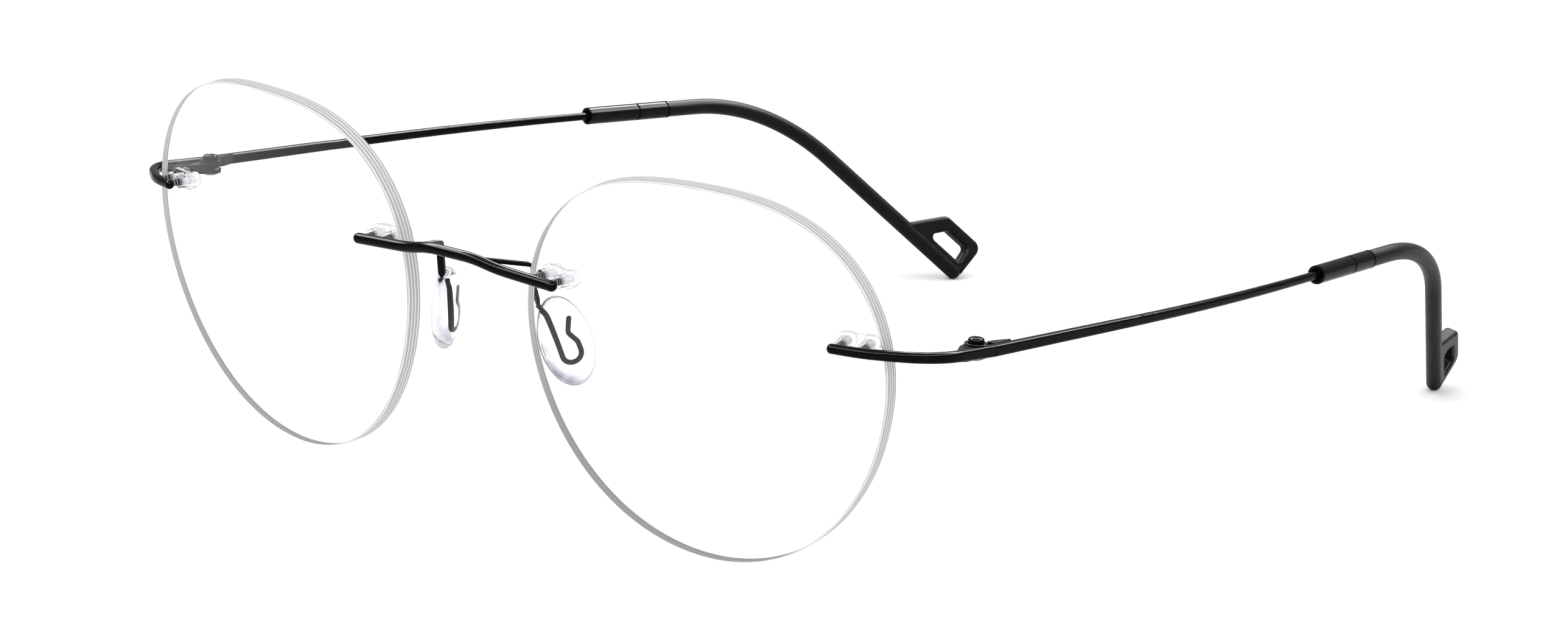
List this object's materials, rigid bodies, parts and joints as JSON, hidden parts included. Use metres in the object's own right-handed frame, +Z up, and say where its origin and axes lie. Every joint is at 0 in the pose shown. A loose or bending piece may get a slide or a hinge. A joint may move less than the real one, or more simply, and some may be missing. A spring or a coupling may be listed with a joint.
{
  "type": "rimless eyeglasses",
  "caption": "Rimless drill-mounted eyeglasses: soft round clear lenses held by plugs on black wire bars, hinged temples with bent tips that end in open loops.",
  "frame": {"origin": "on the table, under the middle of the whole object's bounding box, with the temples open", "axes": "+X towards the wearer's left, -Y the way the lenses face, +Z up"},
  "size_m": [0.1262, 0.1516, 0.0442],
  "materials": {
    "lens": "clear plastic demo lens with polished faces and a satin ground edge",
    "black_wire": "gloss black coating on titanium wire",
    "post": "semi-gloss black",
    "hook_wire": "dark grey satin wire",
    "sleeve": "clear polished plastic",
    "pad": "clear soft silicone",
    "washer": "thin grey slip washer",
    "screw": "gloss black screw with a domed slotted head",
    "tip": "satin black with a glossier collar"
  },
  "bodies": {
    "front": {"bridge_bar": "black_wire", "lens_left": "lens", "lens_right": "lens", "bridge_posts_left": "post", "bridge_posts_right": "post", "endpiece_posts_left": "post", "endpiece_posts_right": "post", "bridge_sleeve_left": "sleeve", "bridge_sleeve_right": "sleeve", "endpiece_sleeve_left": "sleeve", "endpiece_sleeve_right": "sleeve", "pad_arm_left": "black_wire", "pad_arm_right": "black_wire", "pad_hook_left": "hook_wire", "pad_hook_right": "hook_wire", "nose_pad_left": "pad", "nose_pad_right": "pad", "endpiece_left": "black_wire", "endpiece_right": "black_wire", "hinge_front_leaf_left": "black_wire", "hinge_front_leaf_right": "black_wire", "hinge_washers_left": "washer", "hinge_washers_right": "washer", "hinge_screw_left": "screw", "hinge_screw_right": "screw"},
    "left_arm": {"temple_left": "black_wire", "hinge_temple_leaf_left": "black_wire", "temple_tip_left": "tip"},
    "right_arm": {"temple_right": "black_wire", "hinge_temple_leaf_right": "black_wire", "temple_tip_right": "tip"}
  },
  "joints": [
    {"name": "left_fold", "type": "hinge", "parent": "front", "child": "left_arm", "pos_m": [0.0609, -0.05522, 0.0281], "axis": [0, 0, 1], "range_deg": [0, 84]},
    {"name": "right_fold", "type": "hinge", "parent": "front", "child": "right_arm", "pos_m": [-0.0609, -0.05522, 0.0281], "axis": [0, 0, -1], "range_deg": [0, 80]}
  ]
}
